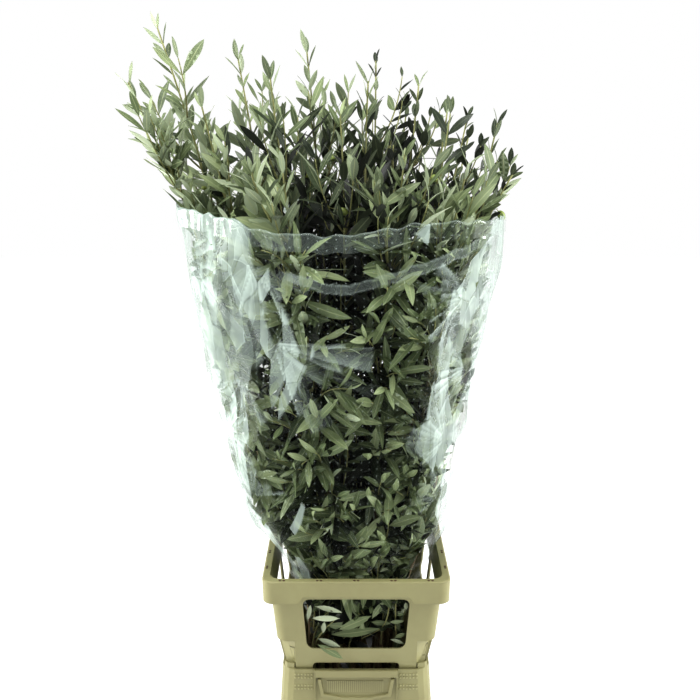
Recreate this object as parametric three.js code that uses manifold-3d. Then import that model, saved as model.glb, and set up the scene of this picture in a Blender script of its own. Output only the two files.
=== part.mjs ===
// A bunch of cut olive branches in a clear film sleeve, standing in a plastic flower bucket with a collar.
// Millimetres, +Z up. The origin is the centre of the bucket's underside, and the front faces -Y.
import * as THREE from "three";
import { mergeVertices } from "three/addons/utils/BufferGeometryUtils.js";
import Module from "manifold-3d";

const wasm = await Module();
wasm.setup();

// Collar and bucket: outer rim size, heights, wall and corner rounding.
const RIM_WIDTH = 296;
const RIM_DEPTH = 396;
const RIM_TOP = 365;
const BUCKET_TOP = RIM_TOP - 168;
const WALL = 3;
const FLOOR = 4;
const CORNER_RADIUS = 26;
const CORNER_SIDES = 4;
const EXTRA_DEPTH = (RIM_DEPTH - RIM_WIDTH) / 2;
const SKIRT = 34;
const COLLAR_FOOT = RIM_TOP - 208;
const FRONT_HALF = 98;
const FRONT_HEAD = RIM_TOP - 39;
const SEAM = 0.4;

// Sleeve: film thickness, lower edge, front upper edge, and half width and half depth by height.
const FILM = 1.8;
const SLEEVE_FOOT = 335;
const SLEEVE_TOP = 906;
const SLEEVE_LEAN = -22;
const SLEEVE_SIDES = 34;
const SLEEVE_POWER = 2.4;
const SLEEVE_SECTIONS = [
  [335, 126.2, 176.2],
  [365, 134.4, 184.4],
  [385, 147, 196],
  [421, 173, 214],
  [477, 186, 228],
  [602, 212, 244],
  [698, 230, 252],
  [807, 250, 258],
  [906, 258, 262],
  [1260, 470, 440],
];

// Half width and half depth that the foliage may fill below the sleeve.
const HOLDER_SECTIONS = [
  [4, 104, 152],
  [200, 100, 148],
  [335, 112, 158],
];
const FILM_CLEARANCE = 13;

// Branch tips: right, back and up from the origin, as they stand in the bunch.
const BRANCH_TIPS = [
  [-316, 0, 1226],
  [-356, -50, 1138],
  [-196, 40, 1200],
  [-84, 70, 1212],
  [-134, -70, 1164],
  [34, 120, 1198],
  [104, 30, 1156],
  [-26, -120, 1108],
  [142, -70, 1112],
  [192, 70, 1106],
  [228, -30, 1094],
  [286, -50, 1014],
  [-240, -90, 1122],
  [-292, -110, 960],
  [-60, 215, 1150],
  [96, 205, 1130],
  [-210, 160, 1118],
  [206, 170, 1070],
  [20, -10, 1160],
  [70, -190, 1050],
  [-110, -205, 1046],
  [168, -165, 1036],
];
const FOOT_SHARE = 0.24;
const SPREAD_POWER = 1.5;
const STEM_RADIUS = 4.6;
const STEM_TIP_RADIUS = 1.5;
const STEM_SWAY = 9;
const STEM_STEPS = 8;

// Side twigs of each branch.
const TWIGS = 3;
const TWIG_LENGTH = 205;
const TWIG_FROM = 262;
const TWIG_STEPS = 3;
const TWIG_RADIUS = 2.2;
const TWIG_TIP_RADIUS = 1.5;
const TWIG_CLEARANCE = 4.5;
const GOLDEN_TURN = Math.PI * (3 - Math.sqrt(5));

// Leaves and olives.
const LEAF_LENGTH = 60;
const LEAF_WIDTH = 14;
const LEAF_THICKNESS = 1.2;
const LEAF_KEEL = 2.4;
const STEM_PAIRS = 5;
const TWIG_PAIRS = 2;
const LEAF_CLEARANCE = 5;
const OLIVE_RADIUS = 6;
const OLIVE_LENGTH = 16;
const OLIVE_STALK = 16;
const OLIVE_BRANCHES = [3, 4, 7, 8, 10, 12, 18, 19, 20, 21];

const up = new THREE.Vector3(0, 0, 1);

// Seeded draws from 0 to 1.
function draws(seed) {
  let state = seed >>> 0;
  return () => {
    state = (Math.imul(state, 1664525) + 1013904223) >>> 0;
    return state / 2 ** 32;
  };
}

// Solids

// A closed solid from a geometry whose vertices are moved by place(vertex).
function solidOf(geometry, place = () => {}) {
  const bare = new THREE.BufferGeometry();
  bare.setAttribute("position", geometry.getAttribute("position").clone());
  bare.setIndex(geometry.index);
  const at = bare.getAttribute("position");
  const vertex = new THREE.Vector3();
  for (let i = 0; i < at.count; i++) {
    place(vertex.fromBufferAttribute(at, i));
    at.setXYZ(i, vertex.x, vertex.y, vertex.z);
  }
  const merged = mergeVertices(bare, 1e-4);
  const faces = [];
  for (let i = 0; i < merged.index.count; i += 3) {
    const [a, b, c] = merged.index.array.slice(i, i + 3);
    if (a !== b && b !== c && c !== a) faces.push(a, b, c);
  }
  return new wasm.Manifold(
    new wasm.Mesh({
      numProp: 3,
      vertProperties: merged.getAttribute("position").array,
      triVerts: new Uint32Array(faces),
    }),
  );
}

function meshOf(name, solid, material) {
  const { vertProperties, triVerts } = solid.getMesh();
  const geometry = new THREE.BufferGeometry();
  geometry.setAttribute("position", new THREE.BufferAttribute(vertProperties, 3));
  geometry.setIndex(new THREE.BufferAttribute(triVerts, 1));
  geometry.computeVertexNormals();
  const mesh = new THREE.Mesh(geometry, material);
  mesh.name = name;
  return mesh;
}

// A profile of [half width, height] turned about Z and squared off to a rounded rectangle, deeper than wide.
function roundedBox(profile) {
  const segments = 4 * CORNER_SIDES;
  const points = profile.map(([half, z]) => new THREE.Vector2(half, z));
  if (points[0].x > 0) points.push(points[0].clone());
  const turned = new THREE.LatheGeometry(points, segments, Math.PI / segments);
  turned.rotateX(Math.PI / 2);
  return solidOf(turned, (v) => {
    const half = Math.hypot(v.x, v.y);
    if (half < 1e-6) return;
    v.x = (v.x / half) * CORNER_RADIUS + Math.sign(v.x) * (half - CORNER_RADIUS);
    v.y = (v.y / half) * CORNER_RADIUS + Math.sign(v.y) * (half - CORNER_RADIUS + EXTRA_DEPTH);
  });
}

// A prism through a wall: a shape in X and Z, pushed along Y from -reach to reach.
function prism(shape, reach) {
  const geometry = new THREE.ExtrudeGeometry(shape, { depth: 2 * reach, bevelEnabled: false, curveSegments: 3 });
  geometry.translate(0, 0, -reach);
  geometry.rotateX(Math.PI / 2);
  return solidOf(geometry);
}

// A trapezium with rounded corners, in X and Z.
function roundedTrapezium(halfTop, halfFoot, top, foot, radius) {
  const corners = [
    new THREE.Vector2(-halfFoot, foot),
    new THREE.Vector2(halfFoot, foot),
    new THREE.Vector2(halfTop, top),
    new THREE.Vector2(-halfTop, top),
  ];
  const shape = new THREE.Shape();
  corners.forEach((corner, i) => {
    const before = corners[(i + 3) % 4].clone().sub(corner).setLength(radius).add(corner);
    const after = corners[(i + 1) % 4].clone().sub(corner).setLength(radius).add(corner);
    if (i) shape.lineTo(before.x, before.y);
    else shape.moveTo(before.x, before.y);
    shape.quadraticCurveTo(corner.x, corner.y, after.x, after.y);
  });
  shape.closePath();
  return shape;
}

// A tapered rod along a curve, closed at both ends.
function rod(curve, radius, tipRadius, sides, steps) {
  const frames = curve.computeFrenetFrames(steps);
  return solidOf(new THREE.CylinderGeometry(1, 1, 1, sides, steps), (v) => {
    const t = v.y + 0.5;
    const step = Math.round(t * steps);
    const size = radius + (tipRadius - radius) * t;
    const [across, along] = [v.x * size, -v.z * size];
    curve.getPoint(t, v);
    v.addScaledVector(frames.normals[step], across);
    v.addScaledVector(frames.binormals[step], along);
  });
}

// Bucket and collar

function bucket() {
  const cup = roundedBox([
    [0, 0],
    [126, 0],
    [132, 8],
    [120, BUCKET_TOP],
    [120 - WALL, BUCKET_TOP],
    [132 - WALL, 8 + FLOOR],
    [124, FLOOR],
    [0, FLOOR],
  ]);
  const outer = [[-62, 182], [-57, 152], [-22, 145], [22, 145], [57, 152], [62, 182]];
  const inner = [[57, 182], [52, 156], [21, 150], [-21, 150], [-52, 156], [-57, 182]];
  const clip = new THREE.Shape([...outer, ...inner].map(([x, z]) => new THREE.Vector2(x, z)));
  const holder = prism(clip, 4).translate(0, -EXTRA_DEPTH - 122, 0);
  return cup.add(holder);
}

function collar() {
  const half = RIM_WIDTH / 2;
  const wall = roundedBox([
    [half - 2, RIM_TOP],
    [half - 12, RIM_TOP],
    [half - 18.5 - WALL, RIM_TOP - SKIRT],
    [122, RIM_TOP - 113],
    [112.5, RIM_TOP - 165],
    [109, COLLAR_FOOT],
    [109 + WALL, COLLAR_FOOT],
    [112.5 + WALL, RIM_TOP - 165],
    [122 + WALL, RIM_TOP - 113],
    [half - 18.5, RIM_TOP - SKIRT],
    [half - 10, RIM_TOP - 4],
    [half - WALL, RIM_TOP - 4],
    [half - WALL - 1, RIM_TOP - SKIRT],
    [half - 1, RIM_TOP - SKIRT],
    [half, RIM_TOP - 2],
  ]);
  const top = FRONT_HEAD;
  const foot = RIM_TOP - 128;
  const lowTop = RIM_TOP - 157;
  const lowFoot = COLLAR_FOOT - 30;
  const front = -EXTRA_DEPTH - 120;
  const windows = [
    prism(roundedTrapezium(85, 78.4, top, foot, 13), 40).translate(0, front, 0),
    prism(roundedTrapezium(70, 69, lowTop, lowFoot, 8), 40).translate(0, front, 0),
  ];
  const backWindow = prism(roundedTrapezium(38, 34, top, foot, 13), 40);
  const backLow = prism(roundedTrapezium(32, 31, lowTop, lowFoot, 8), 40);
  const sideWindow = prism(roundedTrapezium(58, 54, top - 11, foot, 13), RIM_DEPTH);
  const sideLow = prism(roundedTrapezium(50, 49, lowTop, lowFoot, 8), RIM_DEPTH);
  for (const side of [-1, 1]) {
    windows.push(backWindow.translate(side * 44, -front, 0));
    windows.push(backLow.translate(side * 38, -front, 0));
    windows.push(sideWindow.translate(side * 66, 0, 0).rotate(0, 0, 90));
    windows.push(sideLow.translate(side * 57, 0, 0).rotate(0, 0, 90));
  }
  const notch = roundedTrapezium(82, 95, RIM_TOP - 23, RIM_TOP - SKIRT - 6, 2);
  const notches = [-1, 1].map((side) => prism(notch, 11).translate(0, side * (RIM_DEPTH / 2 + 7), 0));
  const corner = new THREE.BoxGeometry(120, 120, 100);
  const corners = [];
  for (const sx of [-1, 1])
    for (const sy of [-1, 1])
      corners.push(solidOf(corner).translate(sx * (FRONT_HALF + 60), sy * (148 + 60), RIM_TOP - 113 - 50));
  return wasm.Manifold.difference([wall, ...windows, ...notches, ...corners]);
}

// The collar as two mouldings: its front below the window's head, and the rest, a seam apart.
function collarMouldings() {
  const whole = collar();
  const block = (halfWidth, top) => {
    const box = new THREE.BoxGeometry(2 * halfWidth, 200, 200);
    return solidOf(box).translate(0, -220, top - 100);
  };
  return {
    collar: whole.subtract(block(FRONT_HALF + SEAM / 2, FRONT_HEAD + SEAM / 2)),
    collar_front: whole.intersect(block(FRONT_HALF - SEAM / 2, FRONT_HEAD - SEAM / 2)),
  };
}

// Sleeve

const smooth = (x, from, to) => THREE.MathUtils.smoothstep(x, from, to);

// Half width and half depth at a height, straight between the listed sections.
function sectionAt(sections, z) {
  const i = Math.max(1, sections.findIndex(([height]) => height >= z));
  const [[z0, a0, b0], [z1, a1, b1]] = [sections[i - 1], sections[i]];
  const share = THREE.MathUtils.clamp((z - z0) / (z1 - z0), 0, 1);
  return [a0 + (a1 - a0) * share, b0 + (b1 - b0) * share];
}

const leanAt = (z) => SLEEVE_LEAN * smooth(z, RIM_TOP, 480);

// Upper edge of the film round the bunch: a pulled-up corner at the left, lower at the front.
function sleeveTopAt(turn) {
  const corner = Math.max(0, Math.cos(turn - 1.06 * Math.PI)) ** 8;
  const right = Math.max(0, Math.cos(turn)) ** 4;
  const back = Math.max(0, Math.sin(turn));
  return SLEEVE_TOP + 36 * corner + 10 * right + 16 * back;
}

// How far the film stands from its axis, with shallow folds that fade out at the rim.
function sleeveRadius(turn, z) {
  const [a, b] = sectionAt(SLEEVE_SECTIONS, z);
  const sum = (Math.abs(Math.cos(turn)) / a) ** SLEEVE_POWER + (Math.abs(Math.sin(turn)) / b) ** SLEEVE_POWER;
  const folds = 4 * Math.sin(5 * turn + z / 90) + 3 * Math.sin(9 * turn - z / 55);
  return sum ** (-1 / SLEEVE_POWER) + folds * smooth(z, RIM_TOP, 460);
}

// The sleeve's volume out to one face of the film; reach carries it past both edges.
function sleeveCore(layer, reach) {
  const heights = [SLEEVE_FOOT, 365, 385, 421, 477, 560, 650, 750, 830, SLEEVE_TOP];
  if (reach) heights.unshift(SLEEVE_FOOT - reach);
  if (reach) heights.push(SLEEVE_TOP + reach);
  const profile = heights.map((z) => new THREE.Vector2(1, z));
  profile.unshift(new THREE.Vector2(0, profile[0].y));
  profile.push(new THREE.Vector2(0, profile.at(-1).y));
  const turned = new THREE.LatheGeometry(profile, SLEEVE_SIDES);
  turned.rotateX(Math.PI / 2);
  return solidOf(turned, (v) => {
    if (Math.hypot(v.x, v.y) < 0.5) return;
    const turn = Math.atan2(v.y, v.x);
    const share = (v.z - SLEEVE_FOOT) / (SLEEVE_TOP - SLEEVE_FOOT);
    const radius = sleeveRadius(turn, v.z) + layer * FILM;
    v.x = leanAt(v.z) + radius * Math.cos(turn);
    v.y = radius * Math.sin(turn);
    v.z += share ** 3 * (sleeveTopAt(turn) - SLEEVE_TOP);
  });
}

function sleeve() {
  return sleeveCore(0.5, 0).subtract(sleeveCore(-0.5, 12));
}

// Olive branches

// How full the room is at a point: below 1 is clear of the holder and the film.
function roomShare(p) {
  const [a, b] = sectionAt(p.z < SLEEVE_FOOT ? HOLDER_SECTIONS : SLEEVE_SECTIONS, p.z);
  const x = Math.abs(p.x - leanAt(p.z)) / (a - FILM_CLEARANCE);
  const y = Math.abs(p.y) / (b - FILM_CLEARANCE);
  return (x ** SLEEVE_POWER + y ** SLEEVE_POWER) ** (1 / SLEEVE_POWER);
}

// A curve of straight pieces between knots.
class Bent extends THREE.Curve {
  constructor(knots) {
    super();
    this.knots = knots;
  }

  getPoint(t, point = new THREE.Vector3()) {
    const steps = this.knots.length - 1;
    const step = THREE.MathUtils.clamp(Math.floor(t * steps), 0, steps - 1);
    return point.lerpVectors(this.knots[step], this.knots[step + 1], t * steps - step);
  }
}

const knotsOf = (steps, pointAt) => Array.from({ length: steps + 1 }, (_, i) => pointAt(i / steps));

// The woody stem: gathered at the foot, fanning out to its tip, held in by the film on the way.
function stemOf([x, y, z], phase) {
  const foot = FLOOR + 0.4;
  const knots = knotsOf(STEM_STEPS, (t) => {
    const spread = FOOT_SHARE + (1 - FOOT_SHARE) * t ** SPREAD_POWER;
    const sway = STEM_SWAY * Math.sin(Math.PI * t) * Math.sin(7 * t + phase);
    const point = new THREE.Vector3(x * spread + sway, y * spread - sway, foot + (z - foot) * t);
    const lean = leanAt(point.z);
    const full = Math.max(1, roomShare(point) / 0.92);
    return point.set(lean + (point.x - lean) / full, point.y / full, point.z);
  });
  return new Bent(knots);
}

// A side twig: leaves the stem at a slant and turns up beside it.
function twigOf(base, axis, side, length) {
  const knots = knotsOf(TWIG_STEPS, (t) => {
    const point = base.clone().addScaledVector(axis, length * (0.78 * t + 0.14 * t * t));
    return point.addScaledVector(side, length * (0.6 * t - 0.24 * t * t));
  });
  return new Bent(knots);
}

// The unit vector square to an axis, at a turn about it.
function squareTo(axis, turn) {
  const first = new THREE.Vector3(1, 0, 0).cross(axis).normalize();
  return first.applyAxisAngle(axis, turn);
}

const along = (curve, count) => Array.from({ length: count }, (_, i) => curve.getPoint((i + 1) / count));

// True if every point keeps the gap to the taken ones. Near its own root a piece may touch its own branch.
function clearOf(points, taken, branch, gap) {
  return points.every((p) =>
    taken.every((q) => (p.rooted && q.branch === branch) || p.point.distanceTo(q.point) > gap + q.reach),
  );
}

// The stems, then each stem's twigs, turned on until they are inside the film and clear of the others.
function branchSkeletons() {
  const next = draws(41);
  const branches = BRANCH_TIPS.map((tip) => ({ height: tip[2], stem: stemOf(tip, 6.3 * next()), twigs: [] }));
  const taken = branches.flatMap(({ stem }, branch) =>
    along(stem, 240).map((point) => ({ point, branch, reach: STEM_RADIUS })),
  );
  branches.forEach(({ height, stem, twigs }, branch) => {
    for (let i = 0; i < TWIGS; i++) {
      const from = TWIG_FROM + (height - 90 - TWIG_FROM) * ((i + 0.15 + 0.5 * next()) / TWIGS);
      const t = from / height;
      const [base, axis] = [stem.getPoint(t), stem.getTangent(t)];
      const length = TWIG_LENGTH * (0.72 + 0.45 * next()) * (1 - 0.35 * t);
      const turn = GOLDEN_TURN * (i + 3 * branch) + next();
      for (let attempt = 0; attempt < 8; attempt++) {
        const twig = twigOf(base, axis, squareTo(axis, turn + (attempt * Math.PI) / 4), length);
        const points = along(twig, 40).map((point, k) => ({ point, branch, reach: TWIG_RADIUS, rooted: k < 10 }));
        const outside = points.some(({ point }) => roomShare(point) > 0.96);
        if (outside || !clearOf(points, taken, branch, TWIG_CLEARANCE)) continue;
        twigs.push({ curve: twig });
        taken.push(...points);
        break;
      }
    }
  });
  return { branches, taken };
}

// A leaf's place: root, and the directions along, across and out of its upper face.
function leafAt(curve, t, turn, slant, size) {
  const [root, axis] = [curve.getPoint(t), curve.getTangent(t)];
  const out = squareTo(axis, turn);
  const along = axis.clone().multiplyScalar(Math.cos(slant)).addScaledVector(out, Math.sin(slant));
  const face = axis.clone().multiplyScalar(Math.sin(slant)).addScaledVector(out, -Math.cos(slant));
  return { root, along, face, across: along.clone().cross(face), length: LEAF_LENGTH * size, width: LEAF_WIDTH * size };
}

function leafPoint({ root, along, face, across, length, width }, share, side, point = new THREE.Vector3()) {
  point.copy(root).addScaledVector(along, length * share);
  point.addScaledVector(face, -0.16 * length * share * share);
  return point.addScaledVector(across, side * width);
}

function leafSamples(leaf, branch) {
  const rows = knotsOf(12, (share) => share).slice(1);
  return rows.flatMap((share) => {
    const sides = share < 0.15 || share > 0.95 ? [0] : [-0.44, -0.22, 0, 0.22, 0.44];
    return sides.map((side) => ({ point: leafPoint(leaf, share, side), branch, reach: 0, rooted: share < 0.34 }));
  });
}

// A root inside the twig, two full sections and the tip: flat above, with a keel below.
function leafSolid(leaf) {
  const shares = [0, 0.27, 0.66, 1];
  const halfWidths = [0, 0.46, 0.42, 0];
  const keels = [0, LEAF_KEEL, LEAF_THICKNESS, 0];
  return solidOf(new THREE.SphereGeometry(1, 3, 3), (v) => {
    const step = Math.round((3 * Math.acos(THREE.MathUtils.clamp(-v.y, -1, 1))) / Math.PI);
    const side = -Math.sign(Math.round(4 * v.z));
    const keel = side ? 0 : keels[step];
    leafPoint(leaf, shares[step], side * halfWidths[step], v);
    v.addScaledVector(leaf.face, -keel);
  });
}

// An olive on a short stalk that leaves the twig and hangs.
function oliveSolids(curve, t, turn, branch) {
  const [root, axis] = [curve.getPoint(t), curve.getTangent(t)];
  const hang = squareTo(axis, turn).addScaledVector(up, -0.55).normalize();
  const end = root.clone().addScaledVector(hang, OLIVE_STALK);
  const centre = end.clone().addScaledVector(hang, OLIVE_LENGTH / 2 - 1);
  const turned = new THREE.Quaternion().setFromUnitVectors(up, hang);
  const fruit = solidOf(new THREE.SphereGeometry(1, 6, 5), (v) => {
    v.set(v.x * OLIVE_RADIUS, -v.z * OLIVE_RADIUS, (v.y * OLIVE_LENGTH) / 2);
    v.applyQuaternion(turned).add(centre);
  });
  const stalk = rod(new Bent([root, end.clone().addScaledVector(hang, 2)]), 0.8, 0.8, 3, 1);
  const samples = [0.5, 1, 1.4, 1.9].map((share) => ({
    point: root.clone().addScaledVector(hang, OLIVE_STALK * share),
    branch,
    reach: OLIVE_RADIUS,
    rooted: share < 1,
  }));
  return { solids: [fruit, stalk], samples };
}

// Leaves in crossed pairs along each twig and the upper stem, left out where they would cross another.
function leafyBranches() {
  const { branches, taken } = branchSkeletons();
  const next = draws(77);
  return branches.map(({ height, stem, twigs }, branch) => {
    const solids = [rod(stem, STEM_RADIUS, STEM_TIP_RADIUS, 4, STEM_STEPS)];
    const keep = (samples, made) => {
      if (samples.some(({ point }) => roomShare(point) > 0.985)) return;
      if (!clearOf(samples, taken, branch, LEAF_CLEARANCE)) return;
      taken.push(...samples);
      solids.push(...made());
    };
    const runs = [[stem, 1 - 300 / height, STEM_PAIRS], ...twigs.map(({ curve }) => [curve, 0.2, TWIG_PAIRS])];
    for (const [curve, start, pairs] of runs) {
      const turn = 6.3 * next();
      for (let pair = 0; pair < pairs; pair++) {
        const t = start + (1 - start) * ((pair + 0.6) / pairs);
        for (const half of [0, Math.PI]) {
          const size = (1.08 - 0.4 * t * t) * (0.85 + 0.3 * next());
          const slant = 0.5 + 0.4 * next();
          const leaf = leafAt(curve, Math.min(t, 0.98), turn + (pair * Math.PI) / 2 + half, slant, size);
          keep(leafSamples(leaf, branch), () => [leafSolid(leaf)]);
        }
      }
    }
    for (const { curve } of twigs) solids.push(rod(curve, TWIG_RADIUS, TWIG_TIP_RADIUS, 3, TWIG_STEPS));
    if (OLIVE_BRANCHES.includes(branch) && twigs.length) {
      const olive = oliveSolids(twigs[twigs.length - 1].curve, 0.42, 2 * branch, branch);
      keep(olive.samples, () => olive.solids);
    }
    return wasm.Manifold.union(solids);
  });
}

// The object

const plastic = new THREE.MeshStandardMaterial({ color: 0xd9d3ac, roughness: 0.5, metalness: 0 });
const film = new THREE.MeshStandardMaterial({
  color: 0xe8f2ee,
  roughness: 0.12,
  metalness: 0,
  transparent: true,
  opacity: 0.3,
});
const foliage = new THREE.MeshStandardMaterial({ color: 0x74886a, roughness: 0.6, metalness: 0 });

const bunch = new THREE.Group();
bunch.add(meshOf("bucket", bucket(), plastic));
for (const [name, solid] of Object.entries(collarMouldings())) bunch.add(meshOf(name, solid, plastic));
bunch.add(meshOf("sleeve", sleeve(), film));
leafyBranches().forEach((solid, i) => {
  bunch.add(meshOf(`olive_branch_${String(i + 1).padStart(2, "0")}`, solid, foliage));
});

export default bunch;
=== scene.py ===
"""Looks of a bunch of olive branches in a clear film sleeve, standing in a flower bucket with a collar.

Lengths in the growth rules are millimetres, as in the part's source; meshes are made in metres.
"""

import math
from collections import namedtuple

import bpy
import numpy as np
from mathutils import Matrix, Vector


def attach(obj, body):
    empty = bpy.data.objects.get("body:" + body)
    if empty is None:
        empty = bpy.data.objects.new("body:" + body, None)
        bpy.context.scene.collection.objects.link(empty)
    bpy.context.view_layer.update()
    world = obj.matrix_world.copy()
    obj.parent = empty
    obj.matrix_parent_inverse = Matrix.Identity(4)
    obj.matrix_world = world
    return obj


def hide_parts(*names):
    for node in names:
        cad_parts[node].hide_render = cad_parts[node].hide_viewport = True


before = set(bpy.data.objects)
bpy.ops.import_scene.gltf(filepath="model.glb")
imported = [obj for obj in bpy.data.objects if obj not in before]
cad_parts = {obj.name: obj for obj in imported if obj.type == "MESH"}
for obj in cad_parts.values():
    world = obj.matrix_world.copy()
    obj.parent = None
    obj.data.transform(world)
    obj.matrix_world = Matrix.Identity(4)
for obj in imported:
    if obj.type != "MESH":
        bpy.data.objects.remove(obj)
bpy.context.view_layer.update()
scene = bpy.context.scene
MM = 0.001

# Growth rules shared with the solids: film and holder sections, branch tips, stems and twigs.
RIM_WIDTH, RIM_DEPTH, RIM_TOP = 296, 396, 365
EXTRA_DEPTH = (RIM_DEPTH - RIM_WIDTH) / 2
BUCKET_TOP = RIM_TOP - 168
FLOOR = 4
SLEEVE_FOOT, SLEEVE_TOP, SLEEVE_LEAN, SLEEVE_POWER = 335, 906, -22, 2.4
SLEEVE_SECTIONS = [
    (335, 126.2, 176.2), (365, 134.4, 184.4), (385, 147, 196), (421, 173, 214), (477, 186, 228),
    (602, 212, 244), (698, 230, 252), (807, 250, 258), (906, 258, 262), (1260, 470, 440),
]
HOLDER_SECTIONS = [(4, 104, 152), (200, 100, 148), (335, 112, 158)]
FILM_CLEARANCE = 13
BRANCH_TIPS = [
    (-316, 0, 1226), (-356, -50, 1138), (-196, 40, 1200), (-84, 70, 1212), (-134, -70, 1164),
    (34, 120, 1198), (104, 30, 1156), (-26, -120, 1108), (142, -70, 1112), (192, 70, 1106),
    (228, -30, 1094), (286, -50, 1014), (-240, -90, 1122), (-292, -110, 960), (-60, 215, 1150),
    (96, 205, 1130), (-210, 160, 1118), (206, 170, 1070), (20, -10, 1160), (70, -190, 1050),
    (-110, -205, 1046), (168, -165, 1036),
]
FOOT_SHARE, SPREAD_POWER = 0.24, 1.5
STEM_RADIUS, STEM_SWAY, STEM_STEPS = 4.6, 9, 8
TWIGS, TWIG_LENGTH, TWIG_FROM, TWIG_STEPS = 3, 205, 262, 3
TWIG_RADIUS, TWIG_CLEARANCE = 2.2, 4.5
GOLDEN_TURN = math.pi * (3 - math.sqrt(5))
OLIVE_BRANCHES = (3, 4, 7, 8, 10, 12, 18, 19, 20, 21)
OLIVE_RADIUS, OLIVE_LENGTH, OLIVE_STALK = 6, 16, 16
STEM_SAMPLES, TWIG_SAMPLES = 240, 40


def draws(seed):
    """Seeded draws from 0 to 1, the same as in the solids."""
    state = seed
    while True:
        state = (state * 1664525 + 1013904223) % 2**32
        yield state / 2**32


def smooth(x, low, high):
    t = np.clip((x - low) / (high - low), 0, 1)
    return t * t * (3 - 2 * t)


def section_at(sections, z):
    heights, *sizes = zip(*sections)
    return [np.interp(z, heights, size) for size in sizes]


def lean_at(z):
    return SLEEVE_LEAN * smooth(z, RIM_TOP, 480)


def room_share(p):
    """How full the room is at points (n, 3): below 1 is clear of the holder and the film."""
    p = np.atleast_2d(p)
    z = p[:, 2]
    low, high = section_at(HOLDER_SECTIONS, z), section_at(SLEEVE_SECTIONS, z)
    a, b = np.where(z < SLEEVE_FOOT, low, high) - FILM_CLEARANCE
    x = np.abs(p[:, 0] - lean_at(z)) / a
    y = np.abs(p[:, 1]) / b
    return (x**SLEEVE_POWER + y**SLEEVE_POWER) ** (1 / SLEEVE_POWER)


def unit(v):
    return v / np.maximum(np.linalg.norm(v, axis=-1, keepdims=True), 1e-9)


def square_to(axis, turn):
    """The unit vector square to an axis, at a turn about it."""
    first = unit(np.cross((1.0, 0.0, 0.0), axis))
    return first * math.cos(turn) + np.cross(axis, first) * math.sin(turn)


def on_knots(knots, t):
    steps = np.linspace(0, 1, len(knots))
    return np.stack([np.interp(t, steps, knots[:, k]) for k in range(3)], axis=-1)


def stem_knots(tip, phase):
    x, y, z = tip
    foot = FLOOR + 0.4
    t = np.linspace(0, 1, STEM_STEPS + 1)
    spread = FOOT_SHARE + (1 - FOOT_SHARE) * t**SPREAD_POWER
    sway = STEM_SWAY * np.sin(math.pi * t) * np.sin(7 * t + phase)
    p = np.stack([x * spread + sway, y * spread - sway, foot + (z - foot) * t], axis=-1)
    full = np.maximum(1, room_share(p) / 0.92)
    lean = lean_at(p[:, 2])
    p[:, 0] = lean + (p[:, 0] - lean) / full
    p[:, 1] /= full
    return p


def twig_line(base, axis, side, length, steps):
    t = np.linspace(0, 1, steps + 1)[:, None]
    return base + axis * length * (0.78 * t + 0.14 * t * t) + side * length * (0.6 * t - 0.24 * t * t)


class Shoot:
    """A smooth stem or twig through its knots, with points and tangents at any share of its length."""

    def __init__(self, knots, count):
        k = len(knots) - 1
        t = np.linspace(0, k, count)
        i = np.minimum(t.astype(int), k - 1)
        u = (t - i)[:, None]
        pad = np.vstack([2 * knots[0] - knots[1], knots, 2 * knots[-1] - knots[-2]])
        p0, p1, p2, p3 = (pad[i + j] for j in range(4))
        square, cube = 2 * p0 - 5 * p1 + 4 * p2 - p3, 3 * p1 - p0 - 3 * p2 + p3
        self.points = 0.5 * (2 * p1 + (p2 - p0) * u + square * u**2 + cube * u**3)
        self.tangents = unit(np.gradient(self.points, axis=0))
        self.length = float(np.linalg.norm(np.diff(self.points, axis=0), axis=1).sum())

    def at(self, t):
        return on_knots(self.points, t), unit(on_knots(self.tangents, t))


def skeletons():
    """Stems and main twigs of every branch, as the solids have them."""
    next_draw = draws(41)
    stems = [stem_knots(tip, 6.3 * next(next_draw)) for tip in BRANCH_TIPS]
    share = np.arange(1, STEM_SAMPLES + 1) / STEM_SAMPLES
    twig_share = np.arange(1, TWIG_SAMPLES + 1) / TWIG_SAMPLES
    points = [on_knots(k, share) for k in stems]
    owners = [np.full(STEM_SAMPLES, i) for i in range(len(stems))]
    reach = [np.full(STEM_SAMPLES, STEM_RADIUS) for _ in stems]
    branches = []
    for branch, knots in enumerate(stems):
        height = BRANCH_TIPS[branch][2]
        stem = Shoot(knots, 64)
        twigs = []
        for i in range(TWIGS):
            start = TWIG_FROM + (height - 90 - TWIG_FROM) * ((i + 0.15 + 0.5 * next(next_draw)) / TWIGS)
            t = start / height
            base = on_knots(knots, t)
            axis = unit(on_knots(knots, t + 1e-4) - on_knots(knots, t - 1e-4))
            length = TWIG_LENGTH * (0.72 + 0.45 * next(next_draw)) * (1 - 0.35 * t)
            turn = GOLDEN_TURN * (i + 3 * branch) + next(next_draw)
            for attempt in range(8):
                side = square_to(axis, turn + attempt * math.pi / 4)
                line = on_knots(twig_line(base, axis, side, length, TWIG_STEPS), twig_share)
                if (room_share(line) > 0.96).any():
                    continue
                taken = np.concatenate(points)
                gap = np.linalg.norm(line[:, None] - taken[None], axis=2)
                gap -= TWIG_CLEARANCE + np.concatenate(reach)[None]
                own = (np.concatenate(owners) == branch)[None] & (np.arange(TWIG_SAMPLES) < 10)[:, None]
                if (gap[~own] <= 0).any():
                    continue
                shift = stem.at(t)[0] - base
                twigs.append(Shoot(twig_line(base + shift, axis, side, length, 10), 24))
                points.append(line)
                owners.append(np.full(TWIG_SAMPLES, branch))
                reach.append(np.full(TWIG_SAMPLES, TWIG_RADIUS))
                break
        branches.append((stem, twigs))
    return branches


# Meshes

def add_object(name, data):
    obj = bpy.data.objects.new(name, data)
    scene.collection.objects.link(obj)
    return obj


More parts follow.
